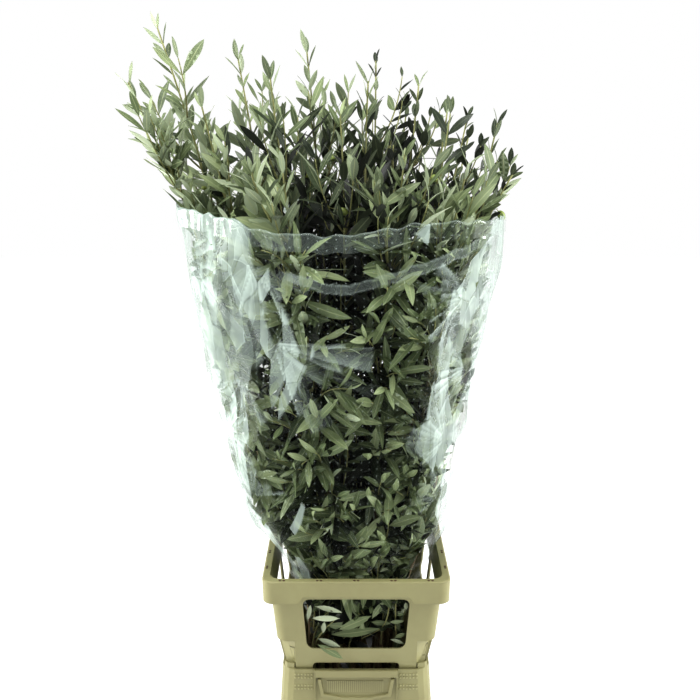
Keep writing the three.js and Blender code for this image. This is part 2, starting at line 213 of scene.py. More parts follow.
class Build:
    """Collects grids of quads with UVs, tones and material slots, and makes them one mesh."""

    def __init__(self):
        self.verts, self.faces, self.uvs, self.slots, self.tones = [], [], [], [], []
        self.count = 0

    def quads(self, index, uv, slot):
        self.faces.append(index.reshape(-1, 4))
        self.uvs.append(np.broadcast_to(uv, (*index.shape, 2)).reshape(-1, 2))
        self.slots.append(np.full(index.size // 4, slot))

    def grids(self, points, uv, tone, slot, wrap=False):
        """Sheets of points (sheets, rows, columns, 3); wrap joins the last column to the first."""
        sheets, rows, columns = points.shape[:3]
        index = self.count + np.arange(sheets * rows * columns).reshape(sheets, rows, columns)
        if wrap:
            index = np.concatenate([index, index[:, :, :1]], axis=2)
        corners = [index[:, :-1, :-1], index[:, :-1, 1:], index[:, 1:, 1:], index[:, 1:, :-1]]
        places = [uv[:-1, :-1], uv[:-1, 1:], uv[1:, 1:], uv[1:, :-1]]
        self.quads(np.stack(corners, axis=-1), np.stack(places, axis=-2), slot)
        self.verts.append(points.reshape(-1, 3))
        self.tones.append(np.broadcast_to(tone, points.shape[:3]).reshape(-1))
        self.count += sheets * rows * columns
        return index

    def cap(self, ring, slot):
        """Closes a ring of an even number of points."""
        fan = [(ring[0], ring[i], ring[i + 1], ring[i + 2]) for i in range(1, len(ring) - 2, 2)]
        self.quads(np.array(fan), (0.5, 0.0), slot)

    def rod(self, points, radii, ages, sides, slot):
        tangents = unit(np.gradient(points, axis=0))
        first = unit(np.cross(tangents, (0.31, 0.22, -0.11)))
        second = np.cross(tangents, first)
        turn = np.arange(sides) * 2 * math.pi / sides
        ring = np.cos(turn)[None, :, None] * first[:, None] + np.sin(turn)[None, :, None] * second[:, None]
        skin = points[:, None] + ring * radii[:, None, None]
        run = np.concatenate([[0], np.cumsum(np.linalg.norm(np.diff(points, axis=0), axis=1))]) / 20
        uv = np.stack(np.meshgrid(np.arange(sides + 1) / sides, run), axis=-1)
        index = self.grids(skin[None], uv, ages[:, None], slot, True)[0, :, :-1]
        self.cap(index[0][::-1], slot)
        self.cap(index[-1], slot)

    def make(self, name, materials, tone_name="tone"):
        mesh = bpy.data.meshes.new(name)
        mesh.from_pydata(np.concatenate(self.verts) * MM, [], np.concatenate(self.faces))
        layer = mesh.uv_layers.new(name="run")
        layer.data.foreach_set("uv", np.concatenate(self.uvs).astype(np.float32).ravel())
        mesh.polygons.foreach_set("material_index", np.concatenate(self.slots).astype(np.int32))
        mesh.polygons.foreach_set("use_smooth", np.ones(len(mesh.polygons), dtype=bool))
        tone = mesh.attributes.new(tone_name, "FLOAT", "POINT")
        tone.data.foreach_set("value", np.concatenate(self.tones).astype(np.float32))
        for m in materials:
            mesh.materials.append(m)
        mesh.update()
        return add_object(name, mesh)


LEAF_SHARES = np.array([0.0, 0.05, 0.11, 0.20, 0.33, 0.48, 0.62, 0.76, 0.88, 0.96, 1.0])
LEAF_WIDTHS = np.array([0.055, 0.06, 0.17, 0.32, 0.45, 0.50, 0.48, 0.38, 0.23, 0.09, 0.012])
LeafForm = namedtuple("LeafForm", "tone length width")
LEAF_NUMBERS = "length width bend hook twist fold wave phase tone".split()
BARK, UPPER, UNDER, FRUIT = range(4)


def add_leaves(build, leaves):
    """Thin closed blades: ribbed and darker above, silvery below, each on a short stalk."""
    root, along, face = (np.stack([leaf[k] for leaf in leaves])[:, None] for k in ("root", "along", "face"))
    length, width, bend, hook, twist, fold, wave, phase, tone = (
        np.array([leaf[k] for leaf in leaves])[:, None] for k in LEAF_NUMBERS
    )
    s = LEAF_SHARES[None]
    across = np.cross(along, face)
    twist = (twist * s)[..., None]
    side = across * np.cos(twist) + face * np.sin(twist)
    above = face * np.cos(twist) - across * np.sin(twist)
    bend = bend * length * s**2
    hook = hook * length * s**2
    run = length * s - 0.35 * np.abs(bend) * s
    centre = root + along * run[..., None] - face * bend[..., None] + across * hook[..., None]
    half = width * LEAF_WIDTHS
    wave = wave * np.sin(9 * s + phase)
    thick = np.where(s < 0.15, 0.55, 0.28)[..., None]
    left = centre - side * half[..., None] + above * (half * (fold + wave))[..., None]
    right = centre + side * half[..., None] + above * (half * (fold - wave))[..., None]
    uv = np.stack(np.meshgrid([0.0, 0.5, 1.0], LEAF_SHARES), axis=-1)
    tone = tone[..., None]
    build.grids(np.stack([left, centre + above * thick, right], axis=2), uv, tone, UPPER)
    build.grids(np.stack([right, centre - above * 1.3 * thick, left], axis=2), uv, tone, UNDER)


def add_olive(build, root, hang, tone):
    """A fruit on its stalk: a long ellipsoid with a small tip."""
    end = root + hang * OLIVE_STALK
    stalk = np.linspace(0, 1, 5)[:, None] * (end + hang * 1.5 - root) + root
    build.rod(stalk, np.array([0.9, 0.6, 0.55, 0.6, 1.1]), np.zeros(5), 6, BARK)
    polar = np.linspace(0.03, math.pi - 0.03, 15)
    height = OLIVE_LENGTH / 2 * (1 - np.cos(polar))
    height[-1] += 0.9
    radius = OLIVE_RADIUS * np.sin(polar) ** 0.92 * (1 + 0.05 * np.cos(polar))
    build.rod(end + hang * height[:, None], radius, np.full(15, tone), 16, FRUIT)


# How full the room may get by height, and the box in front of the collar's window that leaves may stand in.
ROOM_HEIGHTS, ROOM_LIMITS = (240, 262, 330, 340), (0.985, 1.13, 1.13, 1.025)
WINDOW_LOW, WINDOW_HIGH = (-70, -192, 246), (70, 0, 318)


def has_room(p):
    """Whether points are clear of the holder and the film, or stand in the collar's front window."""
    window = ((p > WINDOW_LOW) & (p < WINDOW_HIGH)).all(axis=1)
    return (room_share(p) < np.interp(p[:, 2], ROOM_HEIGHTS, ROOM_LIMITS)) | window


def shade_at(p):
    """How deep inside the bunch a point is, 0 to 1; it sets the painted shade of the leaves there."""
    share, z = room_share(p)[0], p[2]
    inside = smooth(share, 0.84, 0.5) * smooth(z, 960, 900)
    crown = smooth(share, 0.62, 0.25) * smooth(z, 1110, 940) * smooth(z, 900, 960)
    return float(max(inside, 0.8 * crown))


def leaves_on(shoot, start, pitch, form, rng):
    """Crossed pairs of leaves along a shoot, turned in where the film holds them, with painted shade deep
    inside.
    """
    pairs = max(2, int(shoot.length * (1 - start) / pitch))
    turn = rng.uniform(0, 6.3)
    made = []
    for pair in range(pairs + 1):
        t = min(start + (1 - start) * (pair + rng.uniform(-0.15, 0.15) + 0.3) / (pairs + 0.3), 0.995)
        root, axis = shoot.at(t)
        young = smooth(t, 0.75, 1.0)
        for half in (0, math.pi):
            if rng.random() < 0.06:
                continue
            length = form.length * rng.uniform(0.78, 1.15) * (1 - 0.42 * young)
            around = turn + pair * math.pi / 2 + half + rng.normal(0, 0.25)
            slant = rng.uniform(0.45, 1.0) * (1 - 0.45 * young)
            droop = rng.uniform(0.0, 0.9) * smooth(root[2], 960, 800) * (1 - young)
            for turned_in in (1.0, 0.55, 0.25, -0.4):
                out = square_to(axis, around)
                lean = slant * turned_in
                along = unit(axis * math.cos(lean) + out * math.sin(lean) - np.array((0, 0, droop)))
                face = unit(np.cross(np.cross(along, axis), along) + 1e-6)
                bend = rng.uniform(0.02, 0.2)
                tip = root + along * length - face * bend * length
                if has_room(np.stack([tip, 0.5 * (root + tip)])).all():
                    break
            else:
                continue
            roll = rng.normal(0, 0.55)
            across = np.cross(along, face)
            face = face * math.cos(roll) + across * math.sin(roll)
            made.append(dict(
                root=root, along=along, face=face, length=length,
                width=length * form.width * rng.uniform(0.88, 1.12),
                bend=bend, hook=rng.normal(0, 0.05), twist=rng.normal(0, 0.35),
                fold=rng.uniform(-0.05, 0.28), wave=rng.uniform(0, 0.08), phase=rng.uniform(0, 6.3),
                # Painted shade: the tone drops by how deep inside the bunch the leaf stands.
                tone=float(np.clip(form.tone + rng.normal(0, 0.2) - 0.62 * shade_at(root), 0, 1)),
            ))
    return made


# Sides of the crown above the film, by height.
CROWN_HEIGHTS = (900, 1000, 1100, 1230)
CROWN_LEFT = (-280, -300, -350, -340)
CROWN_RIGHT = (230, 232, 224, 130)


def in_crown(p):
    left, right = (np.interp(p[:, 2], CROWN_HEIGHTS, side) for side in (CROWN_LEFT, CROWN_RIGHT))
    return (p[:, 2] < CROWN_HEIGHTS[0]) | ((p[:, 0] > left) & (p[:, 0] < right))


def side_twigs(stem, low, high, height, rng, count):
    """More twigs along a stem between two heights, kept inside the film, the holder and the crown."""
    made = []
    for i in range(count):
        t = rng.uniform(low, high) / height
        base, axis = stem.at(t)
        length = rng.uniform(85, 185) * (1 - 0.3 * t)
        turn = GOLDEN_TURN * i + rng.uniform(0, 1.5)
        for attempt in range(6):
            side = square_to(axis, turn + attempt * math.pi / 3)
            line = twig_line(base, axis, side, length, 10)
            if (room_share(line) < 0.95).all() and in_crown(line).all() and line[-1, 2] < height - 50:
                made.append(Shoot(line, 16))
                break
    return made


def film_reach(turn, z):
    """How far the film stands from its own axis."""
    a, b = section_at(SLEEVE_SECTIONS, z)
    total = (np.abs(np.cos(turn)) / a) ** SLEEVE_POWER + (np.abs(np.sin(turn)) / b) ** SLEEVE_POWER
    return total ** (-1 / SLEEVE_POWER)


def arched(base, axis, end):
    """A shoot that leaves along an axis and arches over to its end."""
    t = np.linspace(0, 1, 12)[:, None]
    middle = base + axis * 0.5 * np.linalg.norm(end - base)
    return Shoot(base * (1 - t) ** 2 + middle * 2 * t * (1 - t) + end * t * t, 16)


# Heights of the twigs at the film, and of every fifth one, at the collar.
WALL_FOOT, WALL_HEAD, COLLAR_TWIGS = 348, 893, (225, 395)
HEIGHT_STEP = 0.754877


def wall_twigs(stems, rng, count):
    """Twigs that press leaves against the film and the holder all round, by the stem each grows from."""
    made = {}
    for i in range(count):
        turn = GOLDEN_TURN * i
        z = WALL_FOOT + (WALL_HEAD - WALL_FOOT) * (i * HEIGHT_STEP % 1) ** 0.9
        if i % 5 == 0:
            z = rng.uniform(*COLLAR_TWIGS)
        probe = np.array((lean_at(z) + math.cos(turn), math.sin(turn), z))
        reach = rng.uniform(0.86, 0.99) * (1.08 if 262 < z < 330 else 1.0) / room_share(probe)[0]
        end = np.array((lean_at(z) + reach * math.cos(turn), reach * math.sin(turn), z))
        start = z - rng.uniform(70, 150)
        roots = [stem.at(start / tip[2]) for stem, tip in zip(stems, BRANCH_TIPS)]
        nearest = int(np.argmin([np.linalg.norm(base - end) for base, _ in roots]))
        made.setdefault(nearest, []).append(arched(*roots[nearest], end))
    return made


def placed_leaf(root, tip, pale, rng):
    """A leaf from root to tip with its silvery side to the front when pale, and its upper side if not."""
    root, tip = np.array(root, float), np.array(tip, float)
    length = float(np.linalg.norm(tip - root))
    along = (tip - root) / length
    side, lift = (1.0, 0.0) if pale else (-1.0, 0.4)
    front = np.array((rng.normal(0, 0.25), side, rng.normal(0, 0.3) + lift))
    return dict(
        root=root, along=along, face=unit(front - along * front.dot(along)), length=length,
        width=float(np.clip(0.25 * length, 8, 13.5)), bend=rng.uniform(-0.04, 0.04),
        hook=rng.normal(0, 0.05), twist=rng.normal(0, 0.1),
        fold=0.1, wave=0.03, phase=rng.uniform(0, 6.3),
        tone=rng.uniform(0.78, 0.95) if pale else rng.uniform(0.6, 0.75),
    )


# Materials

def srgb(*levels):
    """A linear colour from sRGB levels of 0 to 255."""
    shares = [level / 255 for level in levels]
    return (*(c / 12.92 if c <= 0.04045 else ((c + 0.055) / 1.055) ** 2.4 for c in shares), 1.0)


class Nodes:
    """The node tree of a material or world, with short calls to add and link nodes."""

    def __init__(self, owner):
        owner.use_nodes = True
        self.owner, self.tree = owner, owner.node_tree

    def add(self, kind, values=None, **settings):
        node = self.tree.nodes.new("ShaderNode" + kind)
        for key, value in settings.items():
            setattr(node, key, value)
        for key, value in (values or {}).items():
            if isinstance(value, bpy.types.NodeSocket):
                self.tree.links.new(value, node.inputs[key])
            else:
                node.inputs[key].default_value = value
        return node

    def math(self, operation, a, b=0.0, clamp=False):
        return self.add("Math", {0: a, 1: b}, operation=operation, use_clamp=clamp).outputs[0]

    def times(self, a, b, clamp=False):
        return self.math("MULTIPLY", a, b, clamp)

    def plus(self, a, b, clamp=False):
        return self.math("ADD", a, b, clamp)

    def vector(self, operation, a, b=(0, 0, 0)):
        return self.add("VectorMath", {0: a, 1: b}, operation=operation)

    def ramp(self, factor, stops):
        node = self.add("ValToRGB", {0: factor})
        ramp = node.color_ramp.elements
        while len(ramp) < len(stops):
            ramp.new(0.5)
        for element, (at, colour) in zip(ramp, stops):
            element.position = at
            element.color = colour
        return node.outputs[0]

    def mix(self, factor, a, b):
        return self.add("Mix", {0: factor, 6: a, 7: b}, data_type="RGBA").outputs[2]

    def span(self, value, low, high, to_low=0.0, to_high=1.0):
        values = {0: value, 1: low, 2: high, 3: to_low, 4: to_high}
        return self.add("MapRange", values, interpolation_type="SMOOTHSTEP").outputs[0]

    def attribute(self, name):
        return self.add("Attribute", attribute_name=name).outputs["Fac"]

    def place(self):
        return self.add("TexCoord").outputs["Object"]

    def noise(self, scale, detail=4.0, rough=0.55):
        values = {"Scale": scale, "Detail": detail, "Roughness": rough, "Vector": self.place()}
        return self.add("TexNoise", values).outputs[0]

    def bump(self, height, strength, distance):
        return self.add("Bump", {"Height": height, "Strength": strength, "Distance": distance}).outputs[0]

    def surface(self, shader):
        self.tree.links.new(shader, self.add("OutputMaterial").inputs[0])
        return self.owner

    def principled(self, values):
        return self.surface(self.add("BsdfPrincipled", values).outputs[0])


def material_nodes(name):
    n = Nodes(bpy.data.materials.new(name))
    n.tree.nodes.clear()
    return n


def leaf_parts(n):
    """How far off a blade's middle a place is, how near the midrib, and the slanting side veins."""
    uv = n.add("UVMap", uv_map="run").outputs[0]
    xyz = n.add("SeparateXYZ", {0: uv})
    off = n.math("ABSOLUTE", n.math("SUBTRACT", xyz.outputs[0], 0.5))
    rib = n.span(off, 0.085, 0.02)
    slope = n.plus(n.times(xyz.outputs[1], 13.0), n.times(off, -5.0))
    vein = n.span(n.math("ABSOLUTE", n.math("SUBTRACT", n.math("FRACT", slope), 0.5)), 0.1, 0.02)
    return off, rib, vein


def upper_material():
    n = material_nodes("leaf_upper")
    off, rib, vein = leaf_parts(n)
    tone = n.attribute("tone")
    # The tone holds the leaf's own green and painted shade deep inside the bunch; the dark end of the ramp
    # paints that shade.
    body = n.ramp(tone, [
        (0.0, srgb(14, 20, 10)), (0.22, srgb(38, 52, 30)),
        (0.5, srgb(94, 109, 74)), (1.0, srgb(152, 164, 124)),
    ])
    mottle = n.noise(260.0, 5.0)
    lit = n.span(tone, 0.05, 0.45)
    body = n.mix(n.times(n.span(mottle, 0.35, 0.75, 0.0, 0.25), lit), body, srgb(126, 138, 102))
    body = n.mix(n.times(n.times(vein, lit), 0.14), body, srgb(164, 176, 138))
    body = n.mix(n.times(n.times(rib, lit), 0.42), body, srgb(184, 192, 150))
    edge = n.times(n.span(off, 0.44, 0.5), lit)
    body = n.mix(n.times(edge, 0.25), body, srgb(168, 172, 128))
    height = n.plus(n.times(rib, -0.5), n.times(vein, -0.2))
    height = n.plus(height, n.times(n.noise(900.0, 3.0), 0.3))
    return n.principled({
        "Base Color": body, "Roughness": n.span(mottle, 0.3, 0.8, 0.36, 0.55),
        "Normal": n.bump(height, 0.35, 0.0006), "Specular IOR Level": 0.45,
    })


def under_material():
    n = material_nodes("leaf_under")
    _, rib, vein = leaf_parts(n)
    tone = n.attribute("tone")
    # The tone holds the leaf's own green and painted shade deep inside the bunch; the dark end of the ramp
    # paints that shade.
    body = n.ramp(tone, [
        (0.0, srgb(26, 33, 20)), (0.25, srgb(82, 94, 68)),
        (0.6, srgb(150, 164, 130)), (1.0, srgb(204, 214, 188)),
    ])
    fuzz = n.noise(1600.0, 4.0)
    lit = n.span(tone, 0.05, 0.5)
    body = n.mix(n.times(n.span(fuzz, 0.35, 0.7, 0.0, 0.35), lit), body, srgb(206, 214, 194))
    body = n.mix(n.times(n.times(rib, lit), 0.5), body, srgb(196, 200, 156))
    body = n.mix(n.times(vein, 0.1), body, srgb(140, 152, 112))
    height = n.plus(n.times(rib, 0.8), n.times(fuzz, 0.35))
    return n.principled({
        "Base Color": body, "Roughness": 0.68, "Normal": n.bump(height, 0.4, 0.0006),
        "Specular IOR Level": 0.3, "Sheen Weight": 0.12,
    })


def bark_material():
    n = material_nodes("olive_bark")
    age = n.attribute("tone")
    grain = n.noise(420.0, 6.0, 0.65)
    blotch = n.noise(60.0, 3.0)
    wood = n.ramp(grain, [(0.3, srgb(74, 60, 40)), (0.55, srgb(122, 106, 78)), (0.75, srgb(158, 146, 116))])
    young = n.ramp(blotch, [(0.35, srgb(122, 126, 78)), (0.65, srgb(160, 160, 112))])
    body = n.mix(n.span(age, 0.12, 0.55), young, wood)
    return n.principled({
        "Base Color": body, "Roughness": 0.72, "Normal": n.bump(grain, 0.5, 0.0012),
    })


def olive_material():
    n = material_nodes("olive_skin")
    tone = n.attribute("tone")
    body = n.ramp(tone, [(0.0, srgb(92, 116, 46)), (0.6, srgb(134, 152, 72)), (1.0, srgb(178, 186, 116))])
    cloud = n.noise(140.0, 4.0)
    body = n.mix(n.span(cloud, 0.4, 0.7, 0.0, 0.5), body, srgb(160, 172, 96))
    spots = n.add("TexVoronoi", {"Scale": 900.0, "Vector": n.place()}).outputs["Distance"]
    dots = n.span(spots, 0.24, 0.12)
    body = n.mix(n.times(dots, 0.6), body, srgb(206, 210, 158))
    return n.principled({
        "Base Color": body, "Roughness": n.span(cloud, 0.3, 0.7, 0.28, 0.42),
        "Normal": n.bump(n.plus(dots, n.times(cloud, 0.6)), 0.15, 0.0004),
        "Coat Weight": 0.15,
    })


def plastic_material(name, light, shade, edge=0.0014):
    n = material_nodes(name)
    cloud = n.noise(9.0, 4.0, 0.6)
    fine = n.noise(900.0, 3.0, 0.5)
    body = n.mix(n.span(cloud, 0.3, 0.7), light, shade)
    smear = {"Scale": 40.0, "Detail": 8.0, "Roughness": 0.75, "Distortion": 1.2, "Vector": n.place()}
    scuff = n.add("TexNoise", smear).outputs[0]
    body = n.mix(n.span(scuff, 0.62, 0.72, 0.0, 0.22), body, srgb(126, 119, 84))
    bump = n.add("Bump", {"Height": fine, "Strength": 0.12, "Distance": 0.0005})
    if edge:
        round_edges = n.add("Bevel", {"Radius": edge}, samples=4).outputs[0]
        n.tree.links.new(round_edges, bump.inputs["Normal"])
    return n.principled({
        "Base Color": body, "Roughness": n.span(scuff, 0.35, 0.7, 0.36, 0.55),
        "Normal": bump.outputs[0], "Specular IOR Level": 0.5,
    })


def film_material():
    """Clear film with a white veil in flat shards between creases, partly milky film and partly painted
    sheen, with painted shading of the shards, painted highlights and shade along creases and folds, and
    fine perforations.
    """
    n = material_nodes("clear_film")
    haze_and_sheen = n.attribute("haze_and_sheen")
    fold = n.attribute("fold")
    uv = n.add("UVMap", uv_map="run").outputs[0]
    coord = n.place()
    panes, levels, crease_lines = [], [], []
    for turn, size in ((0.75, 15.0), (-0.95, 25.0), (1.3, 46.0)):
        stretch = {"Vector": coord, "Rotation": (0.3, turn, 0.4), "Scale": (1.0, 1.0, 0.32)}
        turned = n.add("Mapping", stretch).outputs[0]
        shards = {"Scale": size, "Vector": turned}
        cell = n.add("TexVoronoi", shards)
        pane = n.add("SeparateColor", {0: cell.outputs["Color"]}).outputs[0]
        # Painted shading of the shards: each gets a flat level and a slope along a random direction, as if
        # light fell on crumpled facets.
        away = n.vector("SUBTRACT", turned, cell.outputs["Position"])
        tilt = n.vector("SUBTRACT", cell.outputs["Color"], (0.5, 0.5, 0.5))
        slope = n.vector("DOT_PRODUCT", away.outputs[0], tilt.outputs[0])
        slope = n.times(slope.outputs["Value"], 2.6 * size)
        flat = n.plus(n.times(pane, 0.7), 0.15)
        rim = n.add("TexVoronoi", shards, feature="DISTANCE_TO_EDGE").outputs["Distance"]
        panes.append(pane)
        levels.append(n.plus(flat, slope, True))
        crease_lines.append(n.times(n.span(rim, 0.022, 0.0), n.span(pane, 0.45, 0.7)))
    # Shards take the white veil by the milkiness and painted sheen of the sides.
    picked = haze_and_sheen
    for pane, share in zip(panes, (0.6, 0.5)):
        picked = n.plus(picked, n.times(n.math("SUBTRACT", pane, 0.5), share))
    veiled_shards = n.span(picked, 0.46, 0.52)
    # Painted shading: the veil's brightness follows the level of each shard.
    level = n.plus(n.times(levels[0], 0.2), n.times(levels[1], 0.2))
    level = n.plus(level, n.times(levels[2], 0.16))
    veil = n.times(veiled_shards, n.plus(level, 0.14))
    # Painted shade: the veil thins along the crease lines of the first two layers.
    for crease_line, share in zip(crease_lines, (0.5, 0.4)):
        veil = n.times(veil, n.math("SUBTRACT", 1.0, n.times(crease_line, share)))
    # Painted highlight: bright lines along the crease lines of the last layer, more on the sides.
    veil = n.plus(veil, n.times(crease_lines[2], n.times(haze_and_sheen, 0.3)))
    # The fold attribute adds painted highlights along the fans of folds, the sash and the top edge, and the
    # hem's milkiness with painted highlight.
    veil = n.plus(veil, n.times(fold, n.plus(n.times(panes[2], 0.5), 0.7)))
    grid = n.vector("FRACTION", uv).outputs[0]
    centred = n.vector("SUBTRACT", grid, (0.5, 0.5, 0.0)).outputs[0]
    reach = n.vector("LENGTH", centred).outputs["Value"]
    dots = n.span(reach, 0.1, 0.065)
    veil = n.math("MAXIMUM", veil, n.times(dots, 0.34), True)
    crinkle = n.add("TexNoise", {"Scale": 40.0, "Detail": 4.0, "Distortion": 1.0, "Vector": coord})
    normal = n.bump(n.plus(crinkle.outputs[0], panes[1]), 0.2, 0.003)
    fresnel = n.add("Fresnel", {"IOR": 1.3, "Normal": normal}).outputs[0]
    gloss = n.times(fresnel, n.plus(n.times(haze_and_sheen, 0.5), 0.2), True)
    gloss = n.math("MINIMUM", gloss, 0.16)
    clear = n.add("BsdfTransparent", {"Color": (0.975, 0.985, 0.98, 1)})
    mirror = n.add("BsdfGlossy", {"Color": (0.95, 0.99, 0.97, 1), "Roughness": 0.08, "Normal": normal})
    white = n.add("BsdfPrincipled", {
        "Base Color": srgb(184, 199, 191), "Roughness": 0.35, "Normal": normal, "Specular IOR Level": 0.4,
    })
    first = n.add("MixShader", {0: gloss, 1: clear.outputs[0], 2: mirror.outputs[0]})
    last = n.add("MixShader", {0: veil, 1: first.outputs[0], 2: white.outputs[0]})
    return n.surface(last.outputs[0])


# Branches

bark, upper, under, olive_skin = bark_material(), upper_material(), under_material(), olive_material()
PALE, GREEN = LeafForm(0.66, 62, 0.225), LeafForm(0.56, 66, 0.23)
DARK, SHADED = LeafForm(0.2, 42, 0.34), LeafForm(0.36, 52, 0.28)
LEAF_FORMS = {
    0: PALE, 1: PALE, 2: PALE, 12: PALE, 13: PALE, 5: DARK, 9: DARK, 11: DARK, 15: DARK, 17: DARK,
    6: SHADED, 8: SHADED, 10: SHADED,
}
# The second form is a near-black leaf tone for the low sprigs behind the collar's window: painted shade.
WALL_PALE, WINDOW_SHADED = LeafForm(0.72, 72, 0.205), LeafForm(0.16, 50, 0.24)
# Low sprigs behind the collar's window by branch: foot and end.
WINDOW_SPRIGS = {
    7: [((-12, -122, 200), (14, -138, 266)), ((16, -122, 250), (-22, -138, 308))],
    19: [((42, -122, 215), (50, -138, 312)), ((66, -120, 225), (62, -138, 296))],
    20: [((-72, -122, 205), (-44, -138, 284)), ((-70, -122, 240), (-60, -138, 312))],
}
# Leaves seen in the window by branch: root, tip and whether the silvery side shows. Stems by their points.
WINDOW_LEAVES = {
    7: [((4, -144, 275), (-12, -152, 312), False), ((9, -148, 243), (11, -154, 277), False)],
    19: [
        ((24, -164, 289), (-26, -166, 265), False), ((40, -154, 262), (-40, -156, 243), False),
        ((26, -152, 278), (43, -160, 316), False), ((82, -150, 293), (79, -156, 308), True),
        ((24, -148, 270), (56, -154, 268), False), ((54, -154, 273), (78, -158, 275), False),
        ((56, -156, 243), (78, -162, 240), True), ((62, -154, 244), (80, -158, 256), False),
    ],
    20: [
        ((-66, -158, 303), (-22, -162, 294), True), ((-26, -166, 286), (-70, -168, 284), True),
        ((-51, -160, 277), (-54, -164, 259), True), ((-62, -160, 247), (-25, -168, 236), True),
        ((-62, -170, 242), (-20, -180, 224), False), ((-78, -152, 275), (-73, -158, 305), True),
        ((-48, -146, 263), (4, -150, 260), False),
    ],
}
WINDOW_STEMS = {
    19: [
        ((52, -130, 340), (53, -152, 300), (43, -154, 265), (9, -150, 241)),
        ((66, -130, 340), (64, -150, 300), (64, -148, 255)),
    ],
    20: [((-69, -140, 200), (-65, -155, 238), (-51, -160, 263), (-35, -160, 279))],
}
# How many twigs each stem gets besides its main ones, and how far apart leaf pairs stand.
SIDE_TWIGS, SHOULDER_TWIGS, LOW_TWIGS, WALL_TWIGS = 18, 8, 6, 380
LEAFY_LENGTH, STEM_PITCH, TWIG_PITCH, WALL_PITCH, WINDOW_PITCH = 460, 27, 25, 20, 18
TALL_BRANCHES, BRANCH_SEED, FILM_SEED = (0, 1), 633, 8
rng = np.random.default_rng(BRANCH_SEED)
bunch = skeletons()
pressed = wall_twigs([stem for stem, _ in bunch], rng, WALL_TWIGS)
for branch, (stem, twigs) in enumerate(bunch):
    height = BRANCH_TIPS[branch][2]
    form = LEAF_FORMS.get(branch, GREEN)
    build = Build()
    stem.points = stem.points[:-1 if branch in TALL_BRANCHES else -2]
    share = np.linspace(0, 1, len(stem.points))
    knobs = 1 + 0.06 * np.sin(41 * share + branch) + 0.04 * np.sin(97 * share)
    build.rod(stem.points, (4.3 - 3.1 * share**0.8) * knobs, 1 - share, 8, BARK)
    extra = side_twigs(stem, 330, height - 130, height, rng, SIDE_TWIGS)
    extra += side_twigs(stem, 720, 930, height, rng, SHOULDER_TWIGS)
    extra += side_twigs(stem, 195, 400, height, rng, LOW_TWIGS)
    outer = pressed.get(branch, [])
    low = [
        arched(np.array(foot, float), np.array((0.0, 0.0, 1.0)), np.array(end, float))
        for foot, end in WINDOW_SPRIGS.get(branch, ())
    ]
    seen = [Shoot(np.array(points, float), 16) for points in WINDOW_STEMS.get(branch, ())]
    for twig in [*twigs, *extra, *outer, *low, *seen]:
        s = np.linspace(0, 1, len(twig.points))
        build.rod(twig.points, 1.55 - 0.75 * s, 0.3 * (1 - s), 6, BARK)
    leaves = leaves_on(stem, 1 - LEAFY_LENGTH / height, STEM_PITCH, form, rng)
    in_film = [twig.points[-1, 2] > SLEEVE_FOOT for twig in outer]
    leafy = [(twig, 0.12, TWIG_PITCH, form) for twig in twigs]
    leafy += [(twig, 0.15, TWIG_PITCH, form) for twig in extra]
    # Leaves inside the holder take the darker SHADED tone, a painted shade.
    leafy += [(twig, 0.35, WALL_PITCH, WALL_PALE if top else SHADED) for twig, top in zip(outer, in_film)]
    # Painted shade: the low sprigs behind the window get the near-black leaf tone.
    leafy += [(twig, 0.2, WINDOW_PITCH, WINDOW_SHADED) for twig in low]
    for row in leafy:
        leaves += leaves_on(*row, rng)
    leaves += [placed_leaf(*leaf, rng) for leaf in WINDOW_LEAVES.get(branch, ())]
    add_leaves(build, leaves)
    if branch in OLIVE_BRANCHES:
        root, axis = twigs[-1].at(0.42)
        hang = unit(square_to(axis, 2 * branch) + np.array((0, 0, -0.55)))
        add_olive(build, root, hang, rng.uniform(0.3, 0.9))
    name = f"olive_branch_{branch + 1:02d}"
    piece = build.make(f"leafy_{name}", (bark, upper, under, olive_skin))
    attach(piece, "root")
    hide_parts(name)


# Sleeve

# The film's length round, its mesh and turned hem, the milkiness and painted highlight of the hem by turn,
# the milkiness and painted sheen of the sides by height, and its perforations.
FILM_ROUND = 1500
FILM_COLUMNS, FILM_ROWS, HEM_ROWS, HEM_DEPTH = 640, 260, 11, 24
HEM_TURNS = (-180, -125, -105, -80, -60, 0, 60, 90)
HEM_HAZE_AND_HIGHLIGHT = (0.16, 0.16, 0.14, 0.1, 0.03, 0.05, 0.1, 0.1)
SIDE_HAZE_AND_SHEEN_HEIGHTS = (340, 420, 560, 660, 740)
SIDE_HAZE_AND_SHEEN = (0.58, 0.6, 0.64, 0.8, 0.95)
DOTS_ROUND, DOT_PITCH = 128, 11.6

# Upper edge of the film: turns in degrees and heights.
EDGE_TURNS = (-270, -225, -180, -168, -140, -124, -114, -90, -67, -53, -31, 0, 45, 90)
EDGE_HEIGHTS = (922, 924, 938, 942, 933, 930, 915, 911, 925, 926, 922, 918, 920, 922)


def crumple(turn, z, rng, count, slow, fast):
    """Flat facets between sharp creases, from crossed triangle waves; 0 to 1."""
    height = np.zeros_like(turn)
    for _ in range(count):
        around = rng.integers(slow, fast) * rng.choice((-1, 1))
        rise = rng.normal(0, 1) * abs(around) / FILM_ROUND
        drift = 0.3 * np.sin(rng.integers(1, 5) * turn + z / rng.uniform(60, 160) + rng.uniform(0, 6.3))
        x = around * turn / (2 * math.pi) + rise * z + drift + rng.uniform(0, 1)
        height += np.abs(2 * (x - np.floor(x + 0.5))) / count
    return height


